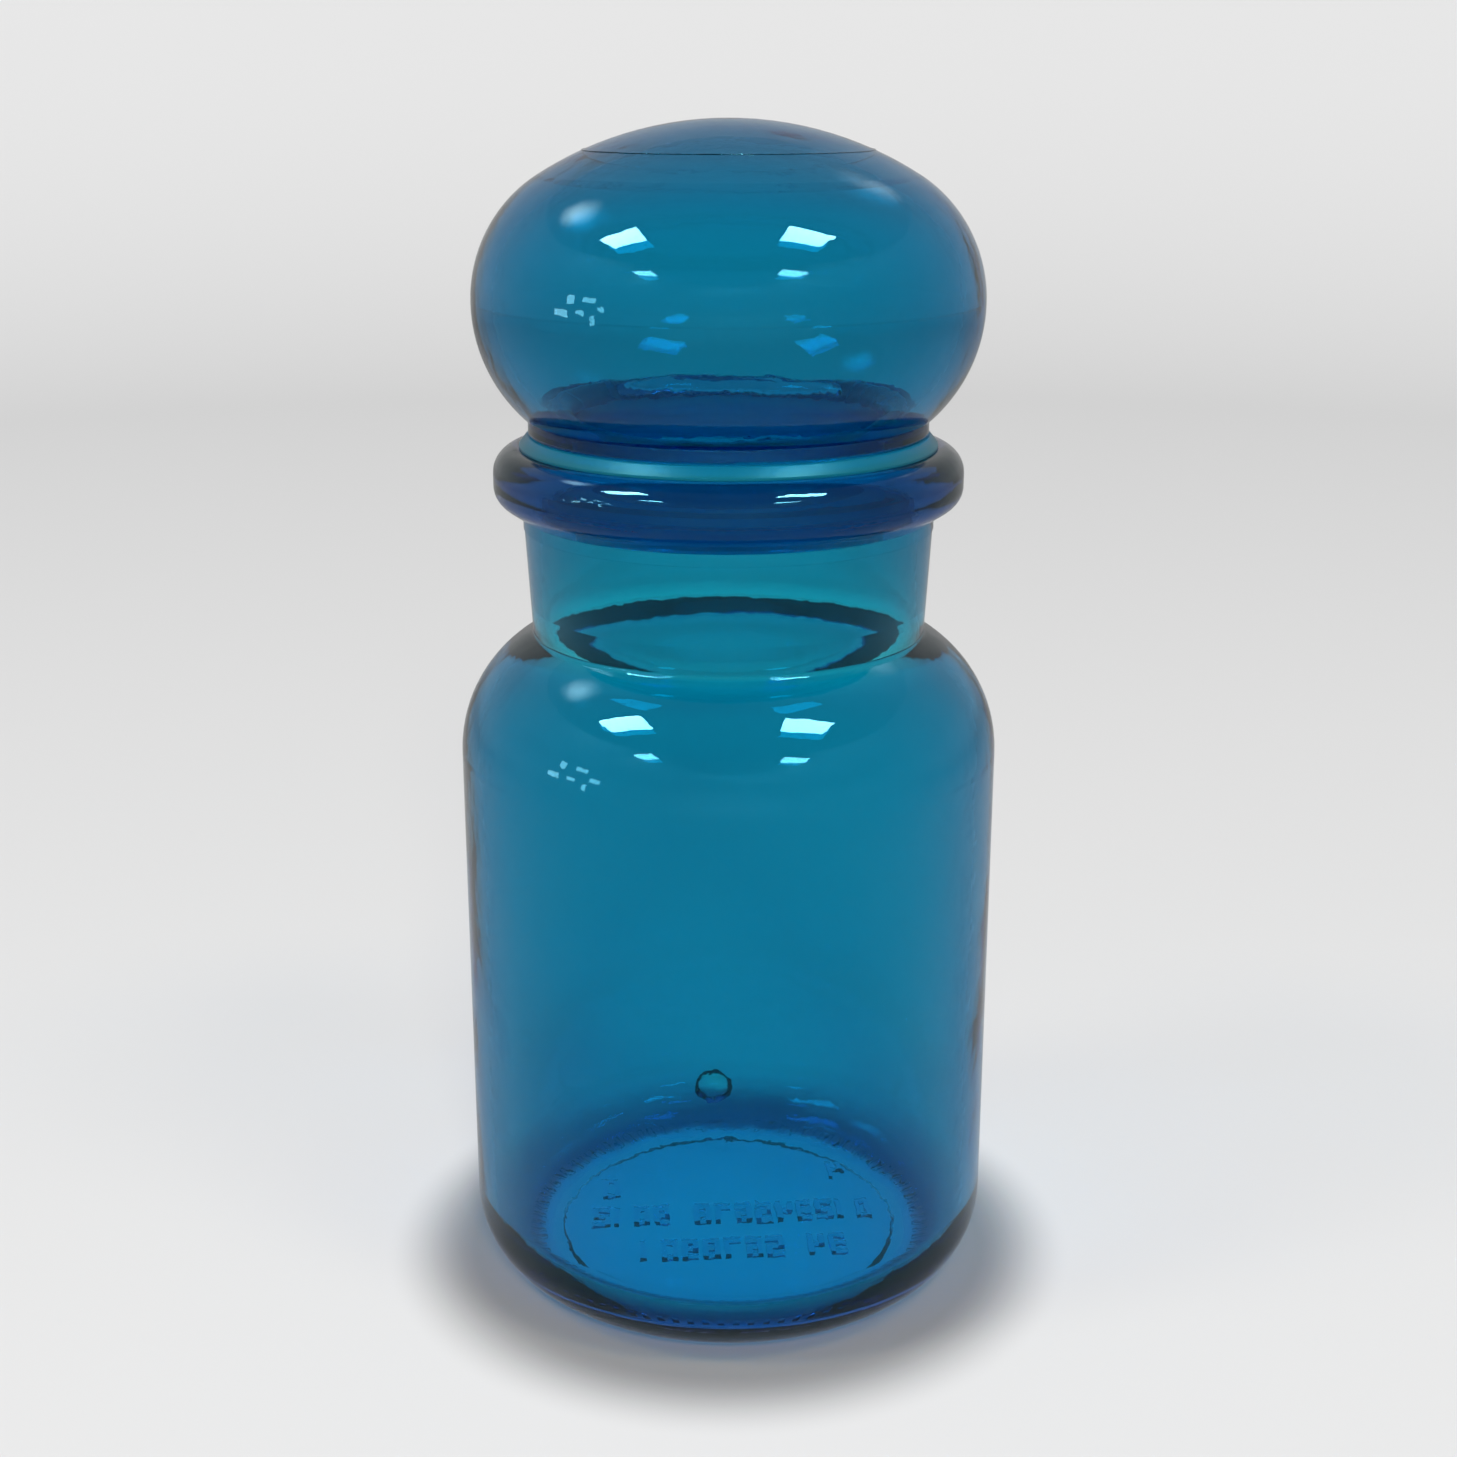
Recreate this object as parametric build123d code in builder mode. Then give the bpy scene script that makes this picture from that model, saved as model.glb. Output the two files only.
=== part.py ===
from build123d import *
from math import acos, asin, cos, degrees, pi, sin, sqrt, tan
import os

# Moulded glass storage jar with a hollow bubble lid and a soft sealing collar.
# The jar stands on +Z with its origin at the centre of the ring that it rests on.
# Three separate pieces: the jar, the lid, and the plastic collar that grips the
# lid's stem and wipes the bore of the neck. All sizes are in millimetres.

# Jar, outside
BODY_RADIUS = 47.0
HEEL_RADIUS = 13.5
SHOULDER_START = 98.3
SHOULDER_RADIUS = 23.5
NECK_FOOT_RADIUS = 34.0
NECK_FOOT_FILLET = 1.0
NECK_TOP_RADIUS = 35.05
PARTING_HEIGHT = 137.9
PARTING_STEP = 0.15
LIP_FOOT = 140.0
LIP_SIDE_START = 143.3
LIP_RADIUS = 40.1
LIP_TOP = 151.6
LIP_LOWER_ROUND = 3.5
LIP_UPPER_ROUND = 4.2

# Jar, inside
WALL = 3.1
FLOOR = 6.0
INNER_HEEL_RADIUS = 9.5
BORE_RADIUS = 32.1
MOUTH_ROUND = 0.9
THROAT_ROUND = 14.0

# Underside of the jar
BEARING_WIDTH = 2.0
PANEL_STEP = 0.6
PANEL_RISE = 0.7
PUSH_UP = 1.4
KNURL_COUNT = 90
KNURL_WIDTH = 1.1
KNURL_DEPTH = 0.4
KNURL_START = 8.0
KNURL_END = 24.0
DIMPLE_RADIUS = 5.2
DIMPLE_DEPTH = 2.3
DIMPLE_HEIGHT = 7.7
MOULD_TURN = 4.0

# Raised numerals under the floor, each drawn with seven straight strokes
NUMERAL_HEIGHT = 6.2
NUMERAL_WIDTH = 3.1
NUMERAL_STROKE = 1.0
NUMERAL_PITCH = 3.9
NUMERAL_FACE = 0.25
NUMERAL_ROWS = (
    ("012345678 9012", (1.0, 1.8)),
    ("34 5678901", (2.0, -10.8)),
    ("0", (-22.5, 12.5)),
    ("4", (22.5, 17.0)),
)
# strokes of each numeral: top, upper left, upper right, middle, lower left, lower right, foot
NUMERAL_STROKES = {
    "0": (1, 1, 1, 0, 1, 1, 1),
    "1": (0, 0, 1, 0, 0, 1, 0),
    "2": (1, 0, 1, 1, 1, 0, 1),
    "3": (1, 0, 1, 1, 0, 1, 1),
    "4": (0, 1, 1, 1, 0, 1, 0),
    "5": (1, 1, 0, 1, 0, 1, 1),
    "6": (1, 1, 0, 1, 1, 1, 1),
    "7": (1, 0, 1, 0, 0, 1, 0),
    "8": (1, 1, 1, 1, 1, 1, 1),
    "9": (1, 1, 1, 1, 0, 1, 1),
}

# Lid
COLLAR_THICKNESS = 2.2
LID_SEAT = LIP_TOP + COLLAR_THICKNESS
FLANGE_RADIUS = 34.0
BUBBLE_RADIUS = 42.9
EQUATOR = 175.7
SIDE_RADIUS = 24.0
CROWN_RADIUS = 60.0
LOW_RADIUS = 25.8
CAP_LINE_RADIUS = 24.0
CAP_LINE_HEIGHT = 0.12
SIDE_WALL = 3.5
INNER_SIDE_RADIUS = 20.5
INNER_CROWN_RADIUS = 56.5
OPENING_RADIUS = 30.6
STEM_BORE_RADIUS = 26.5
FUNNEL_DEPTH = 3.2
STEM_RADIUS = 29.5
STEM_BOTTOM = 139.6
BEAD_RADIUS = 30.2
BEAD_HEIGHT = 1.7
FLANGE_ROUND = 0.5

# Sealing collar
STEM_CLEARANCE = 0.05
RIM_RADIUS = 35.6
RIM_TOP_RADIUS = 34.2
RIM_ROUND = 0.5
SKIRT_RADIUS = 30.9
SKIRT_BOTTOM = 141.5
FIN_RADIUS = 31.95
FIN_ROOT = 1.2
FIN_TIP = 0.35
FIN_PITCH = 2.6
FIN_COUNT = 3


def height_on_circle(radius, offset):
    """Height above the centre of a circle at a sideways offset."""
    return sqrt(radius**2 - offset**2)


heel_centre = (BODY_RADIUS - HEEL_RADIUS, HEEL_RADIUS)
shoulder_centre = BODY_RADIUS - SHOULDER_RADIUS


def heel_point(angle, depth=0.0):
    """Point on the heel's arc, angle degrees out from straight down, depth inside the glass."""
    reach = HEEL_RADIUS - depth
    turn = angle * pi / 180
    return (heel_centre[0] + reach * sin(turn), heel_centre[1] - reach * cos(turn))


def numeral_strokes():
    """Centre, width and height of every stroke. The numerals read from below, so +X runs left."""
    side = (NUMERAL_WIDTH - NUMERAL_STROKE) / 2
    rise = (NUMERAL_HEIGHT - NUMERAL_STROKE) / 2
    flat = (NUMERAL_WIDTH, NUMERAL_STROKE)
    upright = (NUMERAL_STROKE, rise + NUMERAL_STROKE)
    places = (
        ((0, rise), flat),
        ((side, rise / 2), upright),
        ((-side, rise / 2), upright),
        ((0, 0), flat),
        ((side, -rise / 2), upright),
        ((-side, -rise / 2), upright),
        ((0, -rise), flat),
    )
    for text, (row_x, row_y) in NUMERAL_ROWS:
        for index, numeral in enumerate(text):
            x = row_x + NUMERAL_PITCH * ((len(text) - 1) / 2 - index)
            strokes = NUMERAL_STROKES.get(numeral, (0,) * len(places))
            for shown, ((dx, dy), size) in zip(strokes, places):
                if shown:
                    yield (x + dx, row_y + dy), size


def make_jar():
    """The jar: body, shoulder, neck, lip, and the marks moulded under its base and heel."""
    bearing_inner = heel_centre[0] - BEARING_WIDTH
    inner_radius = BODY_RADIUS - WALL
    inner_shoulder_radius = SHOULDER_RADIUS - WALL
    neck_foot = (
        NECK_FOOT_RADIUS,
        SHOULDER_START
        + height_on_circle(SHOULDER_RADIUS, NECK_FOOT_RADIUS - shoulder_centre),
    )
    throat = (
        BORE_RADIUS,
        SHOULDER_START
        + height_on_circle(inner_shoulder_radius, BORE_RADIUS - shoulder_centre),
    )
    floor_edge = (inner_radius - INNER_HEEL_RADIUS, FLOOR)

    with BuildPart() as jar:
        with BuildSketch(Plane.XZ) as section:
            with BuildLine():
                # underside, heel, body and shoulder
                panel = TangentArc(
                    (0, PUSH_UP), (bearing_inner - PANEL_STEP, PANEL_RISE), tangent=(1, 0)
                )
                ring = Polyline(panel @ 1, (bearing_inner, 0), (heel_centre[0], 0))
                heel = TangentArc(ring @ 1, (BODY_RADIUS, HEEL_RADIUS), tangent=(1, 0))
                side = Line(heel @ 1, (BODY_RADIUS, SHOULDER_START))
                shoulder = TangentArc(side @ 1, neck_foot, tangent=(0, 1))
                # neck with the step left by the neck ring, then the lip and the bore
                neck = Polyline(
                    shoulder @ 1,
                    (NECK_TOP_RADIUS, PARTING_HEIGHT),
                    (NECK_TOP_RADIUS + PARTING_STEP, PARTING_HEIGHT),
                    (NECK_TOP_RADIUS + PARTING_STEP, LIP_FOOT),
                )
                lip = FilletPolyline(
                    neck @ 1,
                    (LIP_RADIUS, LIP_SIDE_START),
                    (LIP_RADIUS, LIP_TOP),
                    (BORE_RADIUS, LIP_TOP),
                    throat,
                    radius=[LIP_LOWER_ROUND, LIP_UPPER_ROUND, MOUTH_ROUND],
                )
                # inside of the shoulder, body and floor
                vault = TangentArc(
                    (inner_radius, SHOULDER_START), throat, tangent=(0, 1)
                )
                wall = Line(vault @ 0, (inner_radius, FLOOR + INNER_HEEL_RADIUS))
                corner = TangentArc(wall @ 1, floor_edge, tangent=(0, -1))
                Polyline(corner @ 1, (0, FLOOR), (0, PUSH_UP))
            make_face()
            throat_vertex = section.vertices().sort_by_distance(throat)[0]
            fillet(throat_vertex, radius=THROAT_ROUND)
            foot_vertex = section.vertices().sort_by_distance(neck_foot)[0]
            fillet(foot_vertex, radius=NECK_FOOT_FILLET)
        revolve(axis=Axis.Z)

        # knurled ring: short radial grooves of even depth around the heel
        with BuildSketch(Plane.XZ, mode=Mode.PRIVATE) as groove:
            with BuildLine():
                mid = (KNURL_START + KNURL_END) / 2
                inner = ThreePointArc(
                    heel_point(KNURL_START, KNURL_DEPTH),
                    heel_point(mid, KNURL_DEPTH),
                    heel_point(KNURL_END, KNURL_DEPTH),
                )
                outer = ThreePointArc(
                    heel_point(KNURL_START, -KNURL_DEPTH),
                    heel_point(mid, -KNURL_DEPTH),
                    heel_point(KNURL_END, -KNURL_DEPTH),
                )
                Line(inner @ 0, outer @ 0)
                Line(inner @ 1, outer @ 1)
            make_face()
        grooves = extrude(
            groove.sketch, amount=KNURL_WIDTH / 2, both=True, mode=Mode.PRIVATE
        )
        with PolarLocations(0, KNURL_COUNT):
            add(grooves, mode=Mode.SUBTRACT)

        # raised numerals under the floor, turned with the mould
        with BuildSketch(Plane.XY.offset(NUMERAL_FACE).rotated((0, 0, MOULD_TURN))):
            for centre, (width, height) in numeral_strokes():
                with Locations(centre):
                    Rectangle(width, height)
        extrude(amount=FLOOR / 2)

        # round registration dimple low on the back of the heel
        turn = degrees(asin((HEEL_RADIUS - DIMPLE_HEIGHT) / HEEL_RADIUS))
        seat = heel_point(90 - turn, DIMPLE_DEPTH - DIMPLE_RADIUS)
        with PolarLocations(seat[0], 1, start_angle=90 + MOULD_TURN):
            with Locations((0, 0, seat[1])):
                Sphere(DIMPLE_RADIUS, mode=Mode.SUBTRACT)
    jar.part.label = "jar"
    return jar.part


def bubble_arcs(radius, side_radius, crown_radius):
    """Half a bubble above its equator, as two arcs: (turn of the side arc, height of the top)."""
    side_centre = radius - side_radius
    turn = acos(side_centre / (crown_radius - side_radius))
    crown_height = crown_radius - side_centre * tan(turn)
    return degrees(turn), crown_height


def height_on_arc(radius, arc_radius, offset):
    """Height between the equator and a circle that starts there, at a sideways offset."""
    return height_on_circle(arc_radius, offset - (radius - arc_radius))


def make_lid():
    """The lid: a hollow bubble, open below through its stem, with a flange that seats it."""
    outer_turn, outer_top = bubble_arcs(BUBBLE_RADIUS, SIDE_RADIUS, CROWN_RADIUS)
    inner_radius = BUBBLE_RADIUS - SIDE_WALL
    inner_low_radius = LOW_RADIUS - SIDE_WALL
    inner_turn, inner_top = bubble_arcs(inner_radius, INNER_SIDE_RADIUS, INNER_CROWN_RADIUS)
    waist = EQUATOR - height_on_arc(BUBBLE_RADIUS, LOW_RADIUS, FLANGE_RADIUS)
    opening = EQUATOR - height_on_arc(inner_radius, inner_low_radius, OPENING_RADIUS)
    equator = (BUBBLE_RADIUS, EQUATOR)
    inner_equator = (inner_radius, EQUATOR)

    with BuildPart() as lid:
        with BuildSketch(Plane.XZ) as section:
            with BuildLine():
                # stem with its retaining bead, then the flange
                stem = Polyline(
                    (STEM_BORE_RADIUS, STEM_BOTTOM),
                    (BEAD_RADIUS, STEM_BOTTOM),
                    (BEAD_RADIUS, STEM_BOTTOM + BEAD_HEIGHT),
                    (STEM_RADIUS, STEM_BOTTOM + BEAD_HEIGHT),
                    (STEM_RADIUS, LID_SEAT),
                    (FLANGE_RADIUS, LID_SEAT),
                    (FLANGE_RADIUS, waist),
                )
                # outside of the bubble, from its equator down and from its equator up
                TangentArc(equator, stem @ 1, tangent=(0, -1))
                side = JernArc(equator, (0, 1), SIDE_RADIUS, outer_turn)
                crown = TangentArc(side @ 1, (0, EQUATOR + outer_top), tangent=side % 1)
                # inside of the bubble, then the funnel into the stem's bore
                inner_side = JernArc(inner_equator, (0, 1), INNER_SIDE_RADIUS, inner_turn)
                roof = TangentArc(
                    inner_side @ 1, (0, EQUATOR + inner_top), tangent=inner_side % 1
                )
                Line(crown @ 1, roof @ 1)
                bowl = TangentArc(inner_equator, (OPENING_RADIUS, opening), tangent=(0, -1))
                funnel_foot = (STEM_BORE_RADIUS, opening - FUNNEL_DEPTH)
                funnel = TangentArc(funnel_foot, bowl @ 1, tangent=(0, 1))
                Line(funnel @ 0, stem @ 0)
            make_face()
            bead_vertices = section.vertices().filter_by_position(
                Axis.Y, STEM_BOTTOM - 1, STEM_BOTTOM + BEAD_HEIGHT / 2
            )
            fillet(bead_vertices, radius=BEAD_HEIGHT / 3)
            flange_vertex = section.vertices().sort_by_distance((FLANGE_RADIUS, LID_SEAT))
            fillet(flange_vertex[0], radius=FLANGE_ROUND)
        revolve(axis=Axis.Z)

        # raised line that the mould's cap plate leaves around the crown
        crown_centre = EQUATOR + outer_top - CROWN_RADIUS
        lean = asin(CAP_LINE_RADIUS / CROWN_RADIUS)
        with BuildSketch(Plane.XZ):
            with Locations(
                (CAP_LINE_RADIUS, crown_centre + CROWN_RADIUS * cos(lean))
            ):
                Circle(CAP_LINE_HEIGHT)
        revolve(axis=Axis.Z)
    lid.part.label = "bubble_lid"
    return lid.part


def make_collar():
    """The sealing collar: a tapered rim on the lip, and a finned skirt down the bore."""
    skirt_bore = STEM_RADIUS + STEM_CLEARANCE
    with BuildPart() as collar:
        with BuildSketch(Plane.XZ) as section:
            with BuildLine():
                FilletPolyline(
                    (skirt_bore, LID_SEAT),
                    (RIM_TOP_RADIUS, LID_SEAT),
                    (RIM_RADIUS, LIP_TOP + RIM_ROUND),
                    (RIM_RADIUS, LIP_TOP),
                    (SKIRT_RADIUS, LIP_TOP),
                    (SKIRT_RADIUS, SKIRT_BOTTOM),
                    (skirt_bore, SKIRT_BOTTOM),
                    radius=[RIM_ROUND, RIM_ROUND / 2, RIM_ROUND / 4, RIM_ROUND, RIM_ROUND],
                )
                Line((skirt_bore, SKIRT_BOTTOM), (skirt_bore, LID_SEAT))
            make_face()
            # upswept fins, each a thin tapering lip that wipes the bore
            for index in range(FIN_COUNT):
                root = SKIRT_BOTTOM + FIN_PITCH / 2 + index * FIN_PITCH
                with BuildLine():
                    Polyline(
                        (SKIRT_RADIUS - RIM_ROUND, root),
                        (SKIRT_RADIUS, root),
                        (FIN_RADIUS, root + FIN_ROOT - FIN_TIP),
                        (FIN_RADIUS, root + FIN_ROOT),
                        (SKIRT_RADIUS, root + FIN_ROOT),
                        (SKIRT_RADIUS - RIM_ROUND, root + FIN_ROOT),
                        close=True,
                    )
                make_face()
        revolve(axis=Axis.Z)
    collar.part.label = "sealing_collar"
    return collar.part


os.makedirs("parts", exist_ok=True)
for piece in (make_jar(), make_lid(), make_collar()):
    export_step(piece, f"parts/{piece.label}.step")
    size = piece.bounding_box().size
    print(f"{piece.label}: {size.X:.1f} x {size.Y:.1f} x {size.Z:.1f} mm, {piece.volume:.0f} mm3")
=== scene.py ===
"""A blue glass jar with a hollow bubble lid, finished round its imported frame, on a plain set."""

import math

import bpy
import bmesh
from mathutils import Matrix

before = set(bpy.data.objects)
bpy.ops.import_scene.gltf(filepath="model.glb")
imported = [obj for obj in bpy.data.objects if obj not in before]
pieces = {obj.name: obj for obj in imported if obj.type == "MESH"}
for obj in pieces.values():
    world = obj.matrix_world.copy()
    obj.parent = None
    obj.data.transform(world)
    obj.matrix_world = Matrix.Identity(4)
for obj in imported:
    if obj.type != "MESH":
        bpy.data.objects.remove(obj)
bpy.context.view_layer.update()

# The photograph's viewpoint, worked out in the object's frame.
CAMERA_DISTANCE = 0.360
CAMERA_HEIGHT = 0.2116
CAMERA_PITCH = math.radians(17.11)
CAMERA_LENS = 52.4

# Set: the table's tone and its own glow, as seen through the glass or in it, and the ones
# that the camera sees directly; the glow of a painted pool of light under the jar, and the
# painted contact shadow round it, a dark ring with no glow that reaches from the pool's radius
# to the shadow's radius; the wall's added glow; and the room's even light.
TABLE_TONE = 0.11
TABLE_GLOW = 0.16
DIRECT_TONE = 0.09
DIRECT_GLOW = 0.52
PAINTED_POOL_GLOW = 0.46
PAINTED_POOL_RADIUS = 0.034
PAINTED_POOL_SOFTNESS = 0.004
PAINTED_SHADOW_RADIUS = 0.047
PAINTED_SHADOW_SOFTNESS = 0.018
WALL_GLOW = 0.12
ROOM_LIGHT = 0.35

# Set: the flat floor's radius, the radius of its sweep up into the wall, and the wall's height
# above the sweep.
FLAT_RADIUS = 1.1
SWEEP_RADIUS = 0.5
WALL_HEIGHT = 0.8
SWEEP_STEPS = 24
TURN_STEPS = 96

# Lamps: how far off they hang, and the height that they hang round.
LIGHT_DISTANCE = 1.75
AIM_HEIGHT = 0.12

# Level ceiling panels, then round soft lamps: name, azimuth and elevation in degrees, size in
# metres and radiance.
PANELS = (
    ("panel_left", -66, 50, (0.56, 0.34), 50),
    ("panel_right", 52, 55, (0.56, 0.34), 50),
    ("row_left", -40, 32, (0.30, 0.20), 22),
    ("row_right", 31, 33, (0.34, 0.20), 22),
)
SOFT_LAMPS = (
    ("soft_left", -114, 47, (0.7, 0.7), 6),
    ("soft_right", 144, 42, (0.7, 0.7), 1.2),
)
KEY = ("key", 3, 30, (0.5, 0.5), 140)

# Uneven window low at the left, seen only as a cluster of glints: azimuth, elevation and size
# of each pane.
PANE_DISTANCE = 1.0
PANE_RADIANCE = 9
PANES = (
    (-75, 3, (0.10, 0.05)),
    (-71, 11, (0.05, 0.09)),
    (-66, 4, (0.07, 0.04)),
    (-62, 12, (0.11, 0.05)),
    (-60, 1, (0.04, 0.08)),
    (-56, 7, (0.06, 0.05)),
)

# Glass: red, green and blue light lost per metre, and the tint of its reflections.
GLASS_IOR = 1.515
GLASS_LOSS = (1300.0, 138.0, 59.0)
GLASS_TINT = (0.18, 0.75, 1.0, 1)

# Marks of the mould in the glass, from slow waves to fine chill: scale per metre, detail, depth.
MOULD_MARKS = (
    (34.0, 1.0, 0.0005),
    (150.0, 2.0, 0.00005),
    (900.0, 1.0, 0.000004),
)

# Seal: its colour, the tint of its reflections, and its grain like the mould marks.
SEAL_IOR = 1.5
SEAL_COLOUR = (0.01, 0.33, 0.45, 1)
SEAL_TINT = (0.1, 0.55, 0.7, 1)
SEAL_ROUGHNESS = 0.35
SEAL_CLEARNESS = 0.9
SEAL_GRAIN = ((500.0, 2.0, 0.00004),)


def make_camera():
    """The camera, level from side to side and pitched down at the jar."""
    data = bpy.data.cameras.new("camera")
    data.lens = CAMERA_LENS
    data.clip_start = 0.01
    camera = bpy.data.objects.new("camera", data)
    camera.location = (0, -CAMERA_DISTANCE, CAMERA_HEIGHT)
    camera.rotation_euler = (math.pi / 2 - CAMERA_PITCH, 0, 0)
    bpy.context.scene.collection.objects.link(camera)
    bpy.context.scene.camera = camera


def new_material(name):
    """An empty node material: (material, its nodes, its links, its output node)."""
    material = bpy.data.materials.new(name)
    material.use_nodes = True
    tree = material.node_tree
    tree.nodes.clear()
    output = tree.nodes.new("ShaderNodeOutputMaterial")
    return material, tree.nodes, tree.links, output


def roughen(nodes, links, surface, marks):
    """Bumps a surface with layers of noise in the object's own coordinates, each over the last."""
    place = nodes.new("ShaderNodeTexCoord")
    under = None
    for scale, detail, depth in marks:
        noise = nodes.new("ShaderNodeTexNoise")
        noise.inputs["Scale"].default_value = scale
        noise.inputs["Detail"].default_value = detail
        links.new(place.outputs["Object"], noise.inputs["Vector"])
        bump = nodes.new("ShaderNodeBump")
        bump.inputs["Strength"].default_value = 1.0
        bump.inputs["Distance"].default_value = depth
        links.new(noise.outputs[0], bump.inputs["Height"])
        if under:
            links.new(under.outputs[0], bump.inputs["Normal"])
        under = bump
    links.new(under.outputs[0], surface.inputs["Normal"])


def blue_glass():
    """Clear moulded glass, coloured by its depth, with the marks of a mould."""
    material, nodes, links, output = new_material("blue_glass_look")
    surface = nodes.new("ShaderNodeBsdfPrincipled")
    surface.inputs["Base Color"].default_value = (1, 1, 1, 1)
    surface.inputs["Roughness"].default_value = 0.0
    surface.inputs["IOR"].default_value = GLASS_IOR
    surface.inputs["Transmission Weight"].default_value = 1.0
    surface.inputs["Specular Tint"].default_value = GLASS_TINT
    roughen(nodes, links, surface, MOULD_MARKS)

    # lamps shine through the glass, so its shadow is its own colour
    clear = nodes.new("ShaderNodeBsdfTransparent")
    path = nodes.new("ShaderNodeLightPath")
    either = nodes.new("ShaderNodeMixShader")
    links.new(path.outputs["Is Shadow Ray"], either.inputs[0])
    links.new(surface.outputs[0], either.inputs[1])
    links.new(clear.outputs[0], either.inputs[2])
    links.new(either.outputs[0], output.inputs["Surface"])

    depth = nodes.new("ShaderNodeVolumeAbsorption")
    density = max(GLASS_LOSS)
    depth.inputs["Color"].default_value = [1 - loss / density for loss in GLASS_LOSS] + [1]
    depth.inputs["Density"].default_value = density
    links.new(depth.outputs[0], output.inputs["Volume"])
    return material


def milky_seal():
    """Soft translucent polyethylene, slightly uneven, blue from the glass round it."""
    material, nodes, links, output = new_material("milky_seal_look")
    surface = nodes.new("ShaderNodeBsdfPrincipled")
    surface.inputs["Base Color"].default_value = SEAL_COLOUR
    surface.inputs["Roughness"].default_value = SEAL_ROUGHNESS
    surface.inputs["IOR"].default_value = SEAL_IOR
    surface.inputs["Transmission Weight"].default_value = SEAL_CLEARNESS
    surface.inputs["Specular Tint"].default_value = SEAL_TINT
    roughen(nodes, links, surface, SEAL_GRAIN)
    links.new(surface.outputs[0], output.inputs["Surface"])
    return material


def table_side(nodes, links, tone, table_glow):
    """Plain matte table, with a painted pool of light glowing under the jar and a painted contact
    shadow round it.
    """
    surface = nodes.new("ShaderNodeBsdfPrincipled")
    surface.inputs["Base Color"].default_value = (tone, tone, tone, 1)
    surface.inputs["Roughness"].default_value = 0.9
    surface.inputs["Specular IOR Level"].default_value = 0.0
    surface.inputs["Emission Color"].default_value = (1, 1, 1, 1)
    place = nodes.new("ShaderNodeTexCoord")
    reach = nodes.new("ShaderNodeVectorMath")
    reach.operation = "LENGTH"
    links.new(place.outputs["Object"], reach.inputs[0])
    glow = None
    # painted pool of light under the jar, then the painted contact shadow round it, then the wall's
    # glow
    for radius, softness, inside, outside in (
        (PAINTED_POOL_RADIUS, PAINTED_POOL_SOFTNESS, PAINTED_POOL_GLOW, 0.0),
        (PAINTED_SHADOW_RADIUS, PAINTED_SHADOW_SOFTNESS, 0.0, table_glow),
        (FLAT_RADIUS, SWEEP_RADIUS, 0.0, WALL_GLOW),
    ):
        ring = nodes.new("ShaderNodeMapRange")
        ring.interpolation_type = "SMOOTHSTEP"
        ring.inputs["From Min"].default_value = radius
        ring.inputs["From Max"].default_value = radius + softness
        ring.inputs["To Min"].default_value = inside
        ring.inputs["To Max"].default_value = outside
        links.new(reach.outputs["Value"], ring.inputs["Value"])
        total = nodes.new("ShaderNodeMath")
        total.operation = "ADD"
        total.inputs[0].default_value = 0.0
        links.new(ring.outputs[0], total.inputs[1])
        if glow:
            links.new(glow, total.inputs[0])
        glow = total.outputs[0]
    links.new(glow, surface.inputs["Emission Strength"])
    return surface


def table_top():
    """The set's surface, made paler to the camera than to rays that go through or off the glass."""
    material, nodes, links, output = new_material("table_top")
    path = nodes.new("ShaderNodeLightPath")
    either = nodes.new("ShaderNodeMixShader")
    links.new(path.outputs["Is Camera Ray"], either.inputs[0])
    links.new(table_side(nodes, links, TABLE_TONE, TABLE_GLOW).outputs[0], either.inputs[1])
    links.new(table_side(nodes, links, DIRECT_TONE, DIRECT_GLOW).outputs[0], either.inputs[2])
    links.new(either.outputs[0], output.inputs["Surface"])
    return material


def paint(node, material):
    """Gives every slot of a CAD node one material."""
    for slot in node.material_slots:
        slot.material = material


def make_set():
    """The floor, swept up into a round wall, so that no hard horizon shows."""
    profile = [(0.0, 0.0), (FLAT_RADIUS, 0.0)]
    for step in range(1, SWEEP_STEPS + 1):
        turn = step / SWEEP_STEPS * math.pi / 2
        rise = SWEEP_RADIUS * (1 - math.cos(turn))
        profile.append((FLAT_RADIUS + SWEEP_RADIUS * math.sin(turn), rise))
    profile.append((FLAT_RADIUS + SWEEP_RADIUS, SWEEP_RADIUS + WALL_HEIGHT))
    mesh = bpy.data.meshes.new("backdrop")
    shape = bmesh.new()
    line = [shape.verts.new((r, 0, z)) for r, z in profile]
    edges = [shape.edges.new(pair) for pair in zip(line, line[1:])]
    bmesh.ops.spin(
        shape, geom=line + edges, cent=(0, 0, 0), axis=(0, 0, 1), angle=2 * math.pi,
        steps=TURN_STEPS, use_merge=True,
    )
    bmesh.ops.recalc_face_normals(shape, faces=shape.faces)
    shape.to_mesh(mesh)
    shape.free()
    for face in mesh.polygons:
        face.use_smooth = True
    backdrop = bpy.data.objects.new("backdrop", mesh)
    bpy.context.scene.collection.objects.link(backdrop)
    mesh.materials.append(table_top())


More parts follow.
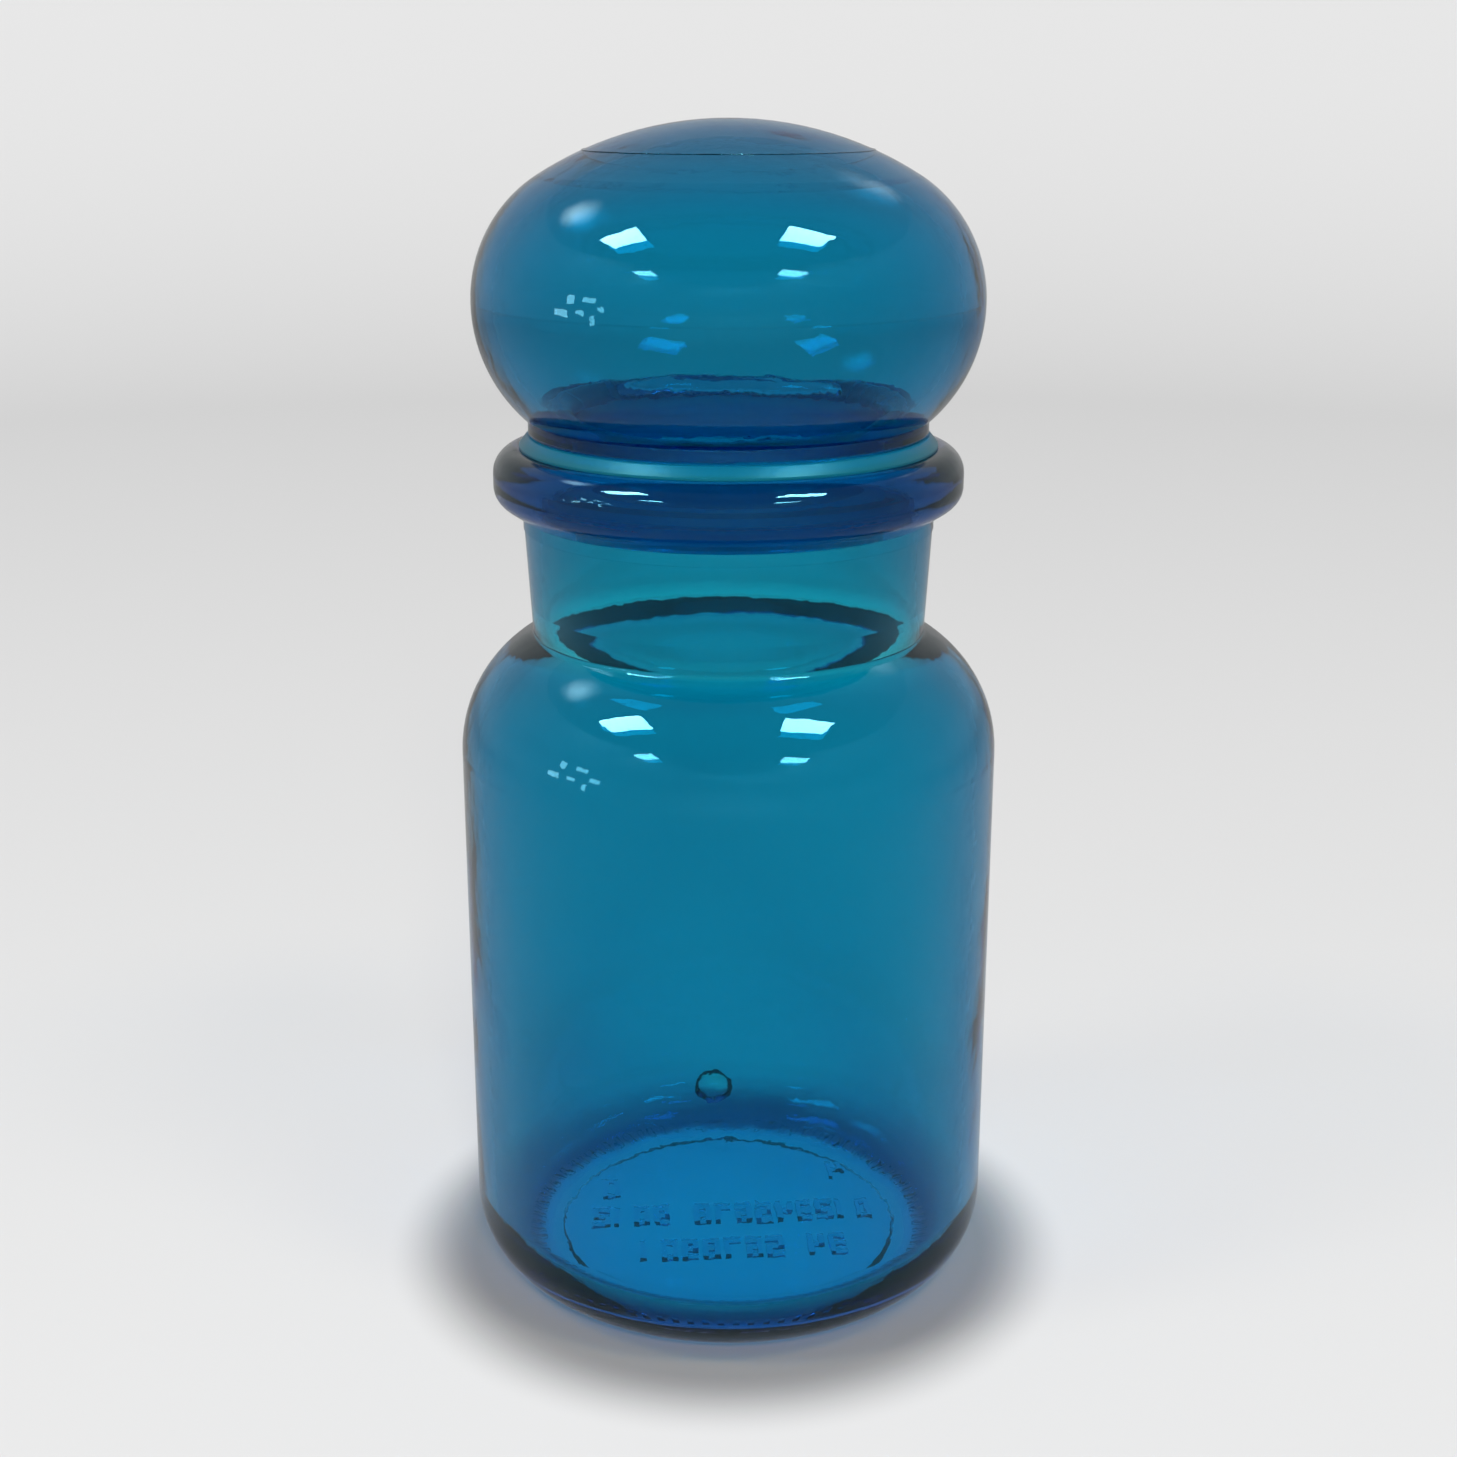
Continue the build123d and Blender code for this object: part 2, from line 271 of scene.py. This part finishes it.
def lamp(
    name, azimuth, elevation, size, radiance,
    shape="RECTANGLE", facing=False, distance=LIGHT_DISTANCE,
):
    """A level panel, or one facing the jar, placed by its direction from the camera's side."""
    data = bpy.data.lights.new(name, "AREA")
    data.shape = shape
    data.size, data.size_y = size
    area = size[0] * size[1] * (math.pi / 4 if shape == "ELLIPSE" else 1)
    data.energy = radiance * math.pi * area
    light = bpy.data.objects.new(name, data)
    turn, rise = math.radians(azimuth), math.radians(elevation)
    reach = distance * math.cos(rise)
    height = distance * math.sin(rise) + AIM_HEIGHT
    light.location = (reach * math.sin(turn), -reach * math.cos(turn), height)
    if facing:
        light.rotation_euler = (math.pi / 2 - rise, 0, turn)
    bpy.context.scene.collection.objects.link(light)
    return light


def soften(light):
    """Fades a lamp from its middle to its rim."""
    data = light.data
    data.use_nodes = True
    nodes, links = data.node_tree.nodes, data.node_tree.links
    across = nodes.new("ShaderNodeNewGeometry")
    centred = nodes.new("ShaderNodeVectorMath")
    centred.operation = "DISTANCE"
    centred.inputs[1].default_value = (0.5, 0.5, 0.0)
    fade = nodes.new("ShaderNodeMapRange")
    fade.interpolation_type = "SMOOTHSTEP"
    fade.inputs["From Min"].default_value = 0.5
    fade.inputs["From Max"].default_value = 0.0
    links.new(across.outputs["Parametric"], centred.inputs[0])
    links.new(centred.outputs["Value"], fade.inputs["Value"])
    links.new(fade.outputs[0], nodes["Emission"].inputs["Strength"])


def make_lights():
    """Ceiling panels, window panes, soft lamps, a key that the glass doesn't show, and the room."""
    for panel in PANELS:
        lamp(*panel)
    for index, place in enumerate(PANES):
        pane = lamp(
            f"pane_{index}", *place, PANE_RADIANCE, facing=True, distance=PANE_DISTANCE
        )
        pane.visible_camera = False
        pane.visible_transmission = False
    for soft_lamp in SOFT_LAMPS:
        soften(lamp(*soft_lamp, shape="ELLIPSE"))
    key = lamp(*KEY, facing=True)
    key.visible_glossy = False
    key.visible_transmission = False
    world = bpy.data.worlds.new("room")
    world.use_nodes = True
    world.node_tree.nodes["Background"].inputs["Color"].default_value = (1, 1, 1, 1)
    world.node_tree.nodes["Background"].inputs["Strength"].default_value = ROOM_LIGHT
    bpy.context.scene.world = world


make_camera()
glass = blue_glass()
paint(pieces["jar"], glass)
paint(pieces["bubble_lid"], glass)
paint(pieces["sealing_collar"], milky_seal())
make_set()
make_lights()

scene = bpy.context.scene
scene.view_settings.view_transform = "Standard"
scene.cycles.max_bounces = 24
scene.cycles.transmission_bounces = 24
scene.cycles.glossy_bounces = 12
scene.cycles.sample_clamp_indirect = 4.0
